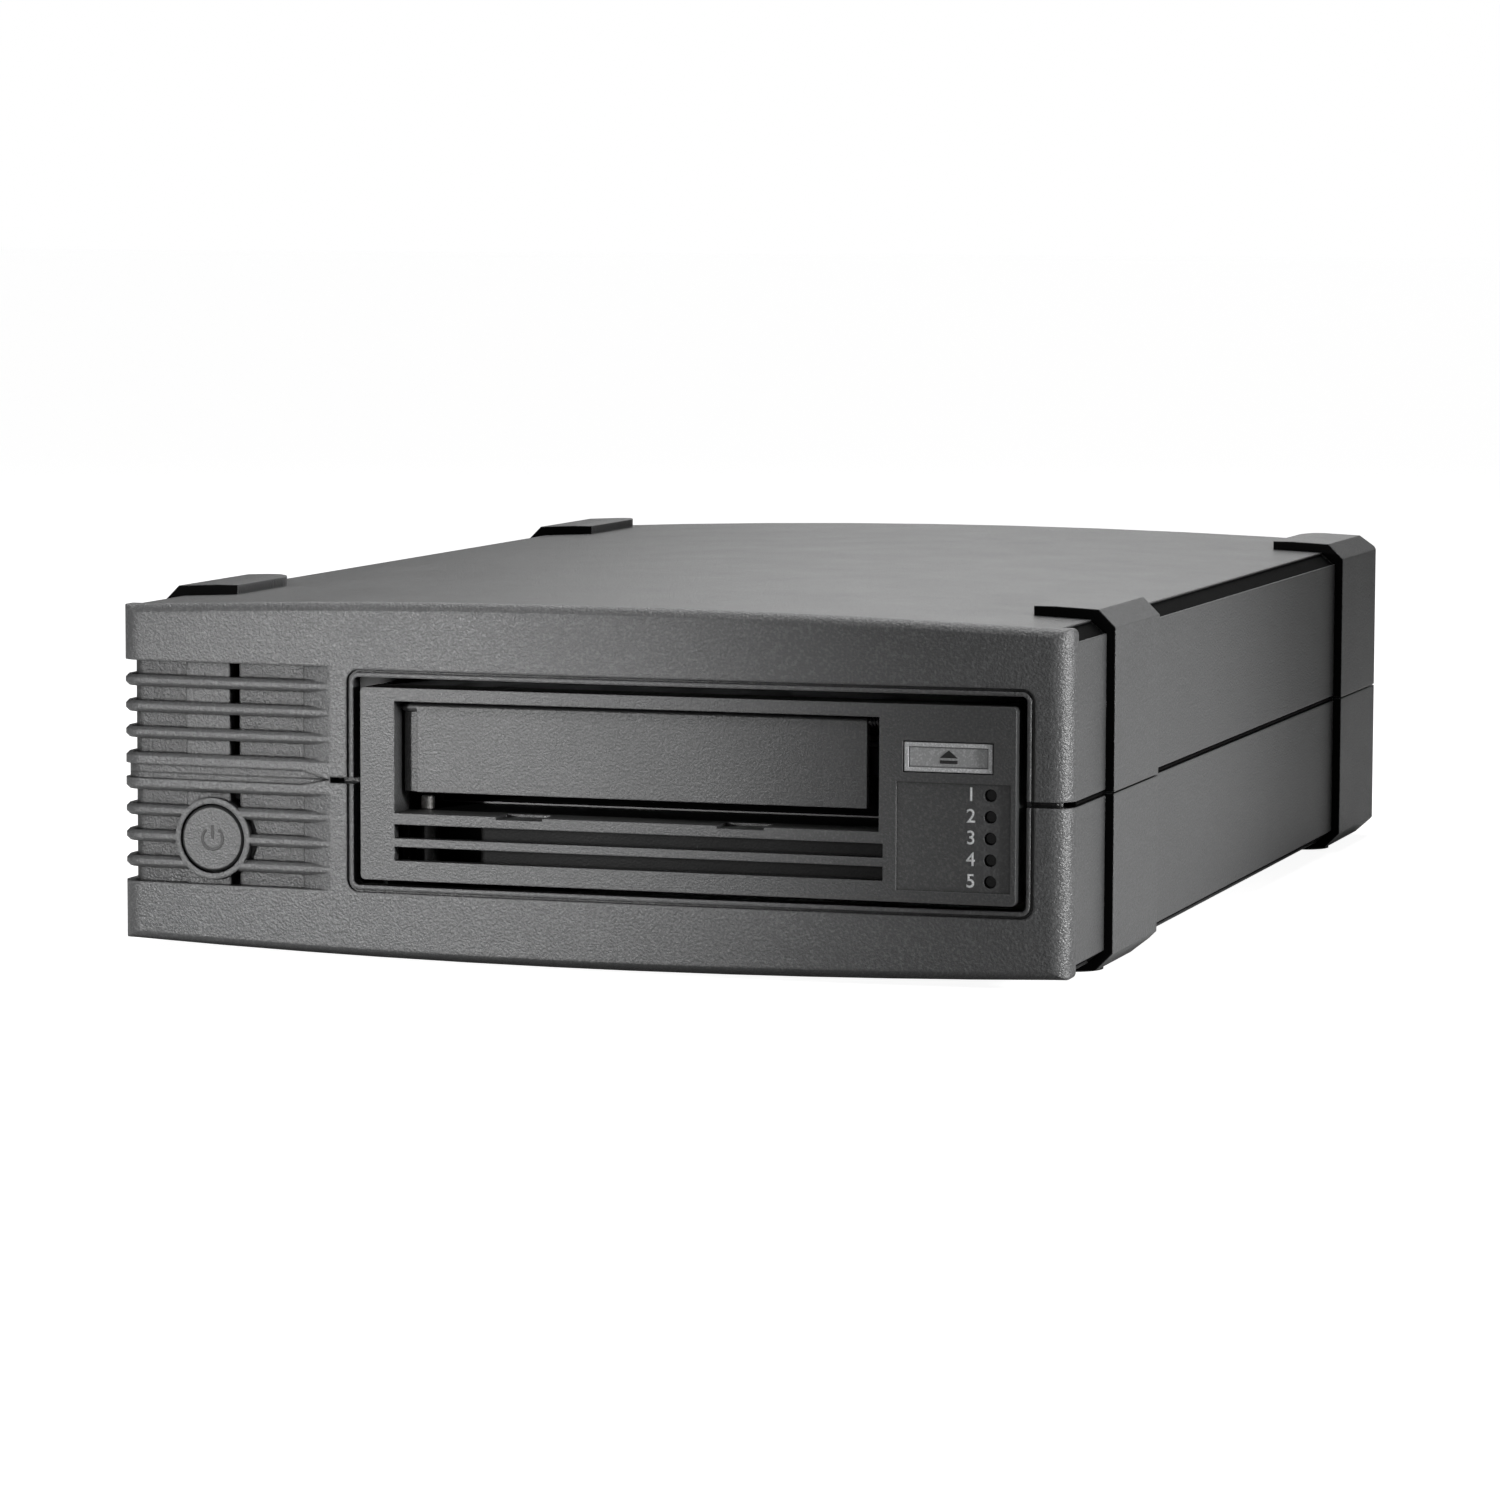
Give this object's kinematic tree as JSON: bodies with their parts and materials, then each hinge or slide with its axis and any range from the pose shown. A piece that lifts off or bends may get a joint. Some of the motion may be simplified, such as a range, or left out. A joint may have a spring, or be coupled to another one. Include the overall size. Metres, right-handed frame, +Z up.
{
  "type": "data tape drive",
  "caption": "Desktop cartridge tape drive in a two-part ribbed case with corner guards, swinging door, eject and power buttons, rear fan and sockets.",
  "frame": {"origin": "centre of the footprint, at the level of the rubber feet", "axes": "+X right seen from the front, +Y to the rear, +Z up"},
  "size_m": [0.2206, 0.32, 0.0794],
  "materials": {
    "shell_plastic": "spark-eroded charcoal grey moulding",
    "bezel_plastic": "finely grained dark grey moulding",
    "trim_black": "black strip",
    "rubber_black": "black rubber",
    "key_grey": "light grey moulding",
    "lamp_lens": "dark clear light guide",
    "zinc_steel": "zinc-plated sheet steel",
    "bright_steel": "bright steel",
    "dark_steel": "blackened steel",
    "motor_metal": "drawn steel can",
    "gear_plastic": "natural acetal",
    "brass": "turned brass",
    "reel_plastic": "moulded, grey",
    "head_ceramic": "lapped ceramic",
    "board_green": "green solder mask",
    "black_plastic": "black moulding"
  },
  "bodies": {
    "case": {"upper_shell": "shell_plastic", "lower_shell": "shell_plastic", "edge_trim": "trim_black", "rubber_feet": "rubber_black", "case_screws": "bright_steel", "power_button_spring": "bright_steel", "power_switch": "black_plastic", "switch_bracket": "zinc_steel", "drive_bezel": "bezel_plastic", "door_pin": "dark_steel", "door_spring": "dark_steel", "front_board": "board_green", "status_lamps": "lamp_lens", "drive_base": "zinc_steel", "drive_cover": "zinc_steel", "bay_frame": "black_plastic", "bay_rails": "zinc_steel", "loader_gear_post": "bright_steel", "loader_motor": "motor_metal", "chuck_motor": "motor_metal", "takeup_motor": "motor_metal", "tape_deck": "zinc_steel", "roller_pins": "bright_steel", "head_actuator": "bright_steel", "main_board": "board_green", "drive_connector": "black_plastic", "drive_cradle": "zinc_steel", "inner_screws": "bright_steel", "supply_chassis": "zinc_steel", "supply_cover": "zinc_steel", "supply_board": "board_green", "rear_panel": "zinc_steel", "fan_frame": "black_plastic", "rear_screws": "bright_steel", "mains_inlet": "black_plastic", "inlet_pins": "bright_steel", "data_ports": "zinc_steel", "port_tongues": "black_plastic"},
    "power_button_body": {"power_button": "bezel_plastic"},
    "eject_button_body": {"eject_button": "key_grey"},
    "cartridge_door_body": {"cartridge_door": "bezel_plastic"},
    "cartridge_plunger_body": {"cartridge_plunger": "gear_plastic"},
    "cartridge_carriage_body": {"cartridge_carriage": "zinc_steel"},
    "loader_gear_body": {"loader_gear": "gear_plastic"},
    "loader_pinion_body": {"loader_pinion": "brass"},
    "supply_chuck_body": {"supply_chuck": "gear_plastic"},
    "takeup_reel_body": {"takeup_reel": "reel_plastic"},
    "head_carriage_body": {"head_carriage": "head_ceramic"},
    "fan_rotor_body": {"fan_rotor": "black_plastic"},
    "guide_roller_1_body": {"guide_roller_1": "reel_plastic"},
    "guide_roller_2_body": {"guide_roller_2": "reel_plastic"},
    "guide_roller_3_body": {"guide_roller_3": "reel_plastic"},
    "guide_roller_4_body": {"guide_roller_4": "reel_plastic"}
  },
  "joints": [
    {"name": "power_button_press", "type": "slide", "parent": "case", "child": "power_button_body", "axis": [0, 1, 0], "range_m": [0, 0.0018], "stiffness_N_per_m": 500, "deforming": ["power_button_spring"]},
    {"name": "eject_button_press", "type": "slide", "parent": "case", "child": "eject_button_body", "axis": [0, 1, 0], "range_m": [0, 0.0012], "stiffness_N_per_m": 600},
    {"name": "cartridge_plunger_press", "type": "slide", "parent": "case", "child": "cartridge_plunger_body", "axis": [0, 0, -1], "range_m": [0, 0.0024], "stiffness_N_per_m": 60},
    {"name": "door_hinge", "type": "hinge", "parent": "case", "child": "cartridge_door_body", "pos_m": [0.0124, -0.1547, 0.05585], "axis": [1, 0, 0], "range_deg": [0, 90], "stiffness_Nm_per_rad": 0.0006, "springref_deg": -28.65},
    {"name": "carriage_slide", "type": "slide", "parent": "case", "child": "cartridge_carriage_body", "axis": [0, 1, 0], "range_m": [0, 0.016]},
    {"name": "loader_gear_spin", "type": "hinge", "parent": "case", "child": "loader_gear_body", "pos_m": [0.0766, -0.0922, 0.03735], "axis": [0, 0, 1], "range_deg": [-132, 0]},
    {"name": "loader_pinion_spin", "type": "hinge", "parent": "case", "child": "loader_pinion_body", "pos_m": [0.08598, -0.08472, 0.03735], "axis": [0, 0, 1], "range_deg": [0, 185]},
    {"name": "supply_chuck_spin", "type": "hinge", "parent": "case", "child": "supply_chuck_body", "pos_m": [0.0124, -0.0842, 0.02825], "axis": [0, 0, 1], "continuous": true},
    {"name": "takeup_reel_spin", "type": "hinge", "parent": "case", "child": "takeup_reel_body", "pos_m": [0.026, 0.0153, 0.03685], "axis": [0, 0, 1], "continuous": true},
    {"name": "head_step", "type": "slide", "parent": "case", "child": "head_carriage_body", "axis": [0, 0, 1], "range_m": [-0.0008, 0.0008]},
    {"name": "fan_spin", "type": "hinge", "parent": "case", "child": "fan_rotor_body", "pos_m": [0.062, 0.1484, 0.0397], "axis": [0, 1, 0], "continuous": true},
    {"name": "guide_roller_1_spin", "type": "hinge", "parent": "case", "child": "guide_roller_1_body", "pos_m": [-0.03844, -0.024, 0.04035], "axis": [0, 0, 1], "continuous": true},
    {"name": "guide_roller_2_spin", "type": "hinge", "parent": "case", "child": "guide_roller_2_body", "pos_m": [-0.02858, -0.012, 0.04035], "axis": [0, 0, 1], "continuous": true},
    {"name": "guide_roller_3_spin", "type": "hinge", "parent": "case", "child": "guide_roller_3_body", "pos_m": [-0.02858, 0.018, 0.04035], "axis": [0, 0, 1], "continuous": true},
    {"name": "guide_roller_4_spin", "type": "hinge", "parent": "case", "child": "guide_roller_4_body", "pos_m": [-0.0177, 0.03375, 0.04035], "axis": [0, 0, 1], "continuous": true}
  ],
  "couplings": [
    {"joint": "loader_gear_spin", "follows": "carriage_slide", "rad_per_m": -142.86},
    {"joint": "loader_pinion_spin", "follows": "carriage_slide", "rad_per_m": 200}
  ]
}
